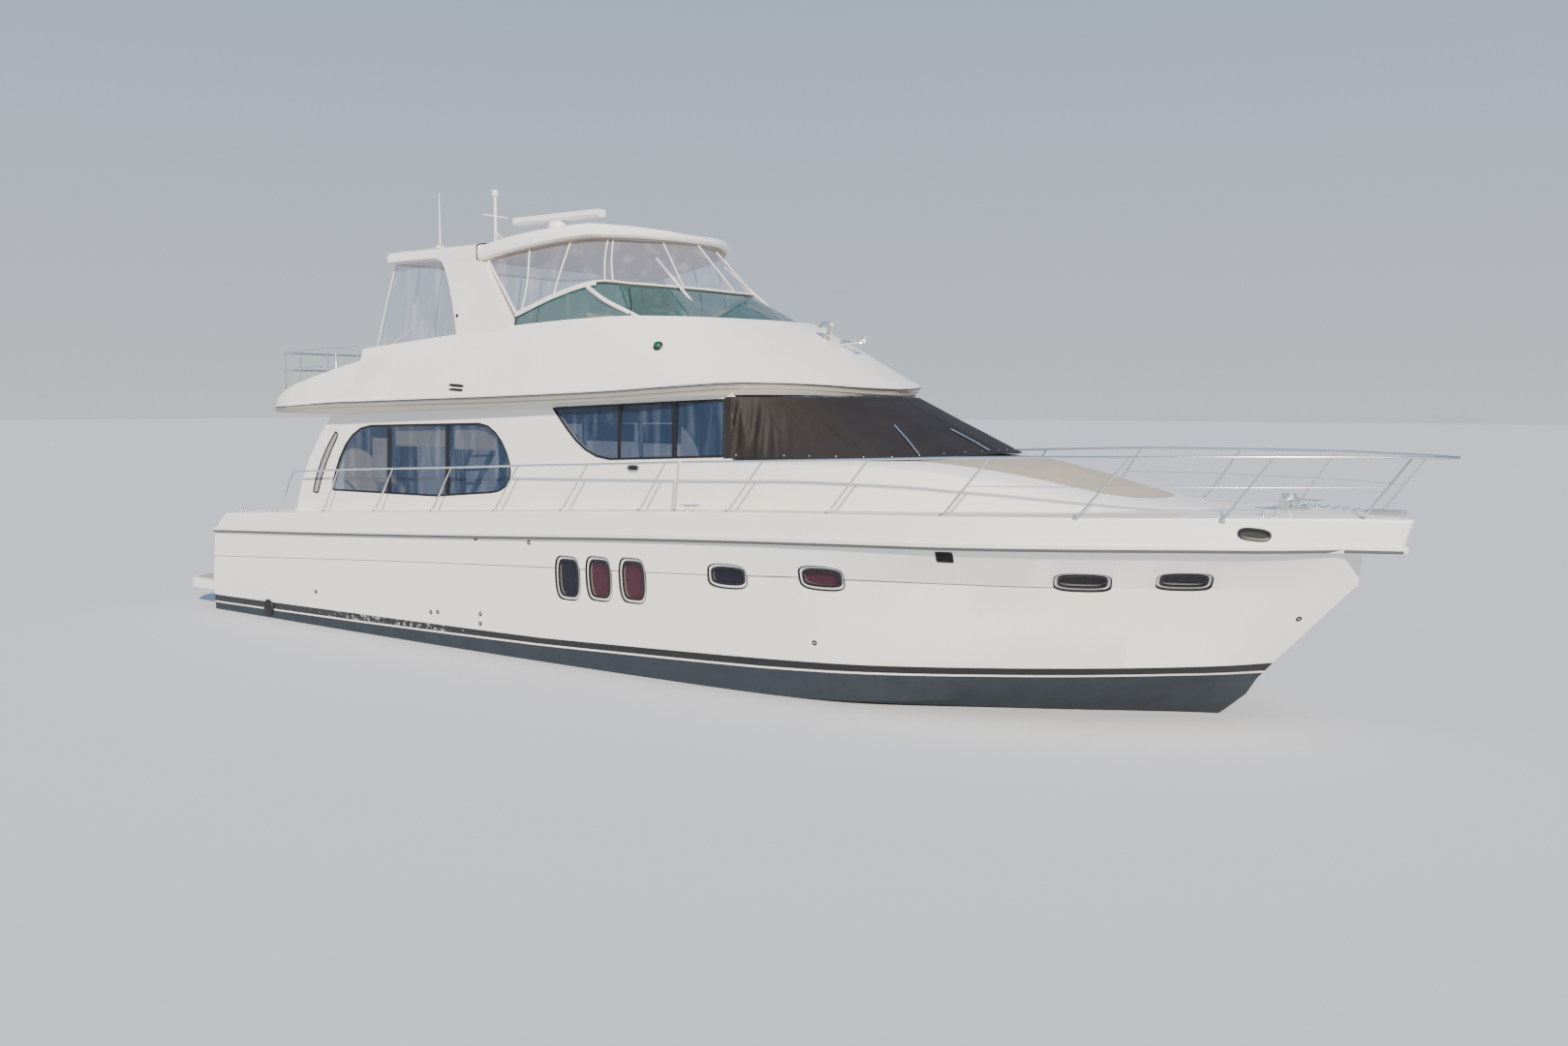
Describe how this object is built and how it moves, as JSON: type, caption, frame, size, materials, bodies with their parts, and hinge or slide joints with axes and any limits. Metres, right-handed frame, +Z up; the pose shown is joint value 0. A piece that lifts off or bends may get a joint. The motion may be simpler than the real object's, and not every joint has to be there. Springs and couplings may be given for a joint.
{
  "type": "motor yacht",
  "caption": "Planing motor yacht with an enclosed pilothouse, a covered flybridge under a hardtop and radar arch, a covered windshield, deck rails and a stern platform, afloat.",
  "frame": {"origin": "on the waterline, on the centreline, amidships (8 m forward of the transom)", "axes": "+X forward to the bow, +Y to port, +Z up; z = 0 is the water surface"},
  "size_m": [18.42, 4.756, 7.64],
  "materials": {
    "gelcoat": "polished white gelcoat on fibreglass",
    "rub_rail": "white moulded fender strip",
    "nonskid": "moulded non-slip pattern",
    "tinted_glass": "dark blue tinted, polished",
    "acrylic": "teal tinted, polished",
    "clear_vinyl": "clear flexible sheet",
    "canvas": "black woven acrylic cloth",
    "stainless": "polished stainless steel",
    "bronze": "cast, worked smooth",
    "iron": "painted casting",
    "upholstery": "off-white marine vinyl",
    "carpet": "short pile",
    "plastic": "white moulded",
    "dark_plastic": "dark grained moulding"
  },
  "bodies": {
    "boat": {"hull": "gelcoat", "deck_starboard": "gelcoat", "deck_port": "gelcoat", "foredeck": "gelcoat", "gate_bracket": "stainless", "rub_rail": "rub_rail", "swim_platform": "gelcoat", "trunk": "gelcoat", "flybridge": "gelcoat", "house_side_starboard": "gelcoat", "house_side_port": "gelcoat", "salon_glass_starboard": "tinted_glass", "salon_glass_port": "tinted_glass", "pilothouse_glass_starboard": "tinted_glass", "pilothouse_glass_port": "tinted_glass", "aft_bulkhead": "gelcoat", "bulkhead_glass": "tinted_glass", "cockpit_sole": "nonskid", "cabin_sole": "carpet", "engine_starboard": "iron", "engine_port": "iron", "windshield": "tinted_glass", "windshield_cover": "canvas", "bridge_windscreen": "acrylic", "radar_arch": "gelcoat", "hardtop": "gelcoat", "curtain_front": "clear_vinyl", "curtain_aft": "clear_vinyl", "light_mast": "stainless", "bridge_console": "gelcoat", "bridge_helm_seat": "upholstery", "bridge_settee": "upholstery", "side_rail_starboard": "stainless", "side_rail_port": "stainless", "bow_rail": "stainless", "bridge_rail": "stainless", "bridge_stairs": "gelcoat", "windlass": "stainless", "lower_helm_console": "dark_plastic", "lower_helm_seat": "upholstery", "strut_starboard": "bronze", "strut_port": "bronze"},
    "propeller_starboard": {"propeller_starboard": "bronze"},
    "propeller_port": {"propeller_port": "bronze"},
    "rudder_starboard": {"rudder_starboard": "bronze"},
    "rudder_port": {"rudder_port": "bronze"},
    "bridge_wheel": {"bridge_wheel": "stainless"},
    "lower_wheel": {"lower_wheel": "stainless"},
    "radar_scanner": {"radar_scanner": "plastic"},
    "transom_gate": {"transom_gate": "gelcoat"},
    "salon_door": {"salon_door": "stainless", "salon_door_glass": "tinted_glass"},
    "bridge_hatch": {"bridge_hatch": "gelcoat"},
    "aerial": {"aerial": "plastic"}
  },
  "joints": [
    {"name": "propeller_starboard_spin", "type": "hinge", "parent": "boat", "child": "propeller_starboard", "pos_m": [-7, -0.95, -0.9], "axis": [0.9816, 0, 0.1908], "continuous": true},
    {"name": "propeller_port_spin", "type": "hinge", "parent": "boat", "child": "propeller_port", "pos_m": [-7, 0.95, -0.9], "axis": [0.9816, 0, 0.1908], "continuous": true},
    {"name": "rudder_starboard_turn", "type": "hinge", "parent": "boat", "child": "rudder_starboard", "pos_m": [-7.67, -0.95, -0.9], "axis": [0, 0, 1], "range_deg": [-35, 35]},
    {"name": "rudder_port_turn", "type": "hinge", "parent": "boat", "child": "rudder_port", "pos_m": [-7.67, 0.95, -0.9], "axis": [0, 0, 1], "range_deg": [-35, 35]},
    {"name": "bridge_wheel_turn", "type": "hinge", "parent": "boat", "child": "bridge_wheel", "pos_m": [-0.132, -0.65, 3.93], "axis": [0.9397, 0, -0.342], "range_deg": [-540, 540]},
    {"name": "lower_wheel_turn", "type": "hinge", "parent": "boat", "child": "lower_wheel", "pos_m": [1.17, -0.8, 2.2], "axis": [0.9397, 0, -0.342], "range_deg": [-540, 540]},
    {"name": "radar_spin", "type": "hinge", "parent": "boat", "child": "radar_scanner", "pos_m": [-2.56, 0, 5.8], "axis": [0, 0, 1], "continuous": true},
    {"name": "transom_gate_swing", "type": "hinge", "parent": "boat", "child": "transom_gate", "pos_m": [-7.66, -1.444, 1.2], "axis": [0, 0, -1], "range_deg": [0, 95]},
    {"name": "salon_door_slide", "type": "slide", "parent": "boat", "child": "salon_door", "axis": [0, -1, 0], "range_m": [0, 0.7]},
    {"name": "bridge_hatch_lift", "type": "hinge", "parent": "boat", "child": "bridge_hatch", "pos_m": [-5.7, 1.625, 3.1803], "axis": [-1, 0, 0], "range_deg": [0, 85]},
    {"name": "aerial_fold", "type": "hinge", "parent": "boat", "child": "aerial", "pos_m": [-3.67, -1.2, 5.38], "axis": [0, -1, 0], "range_deg": [0, 90]}
  ],
  "couplings": [
    {"joint": "rudder_port_turn", "follows": "rudder_starboard_turn", "ratio": 1},
    {"joint": "bridge_wheel_turn", "follows": "rudder_starboard_turn", "ratio": 15.4},
    {"joint": "lower_wheel_turn", "follows": "rudder_starboard_turn", "ratio": 15.4}
  ]
}
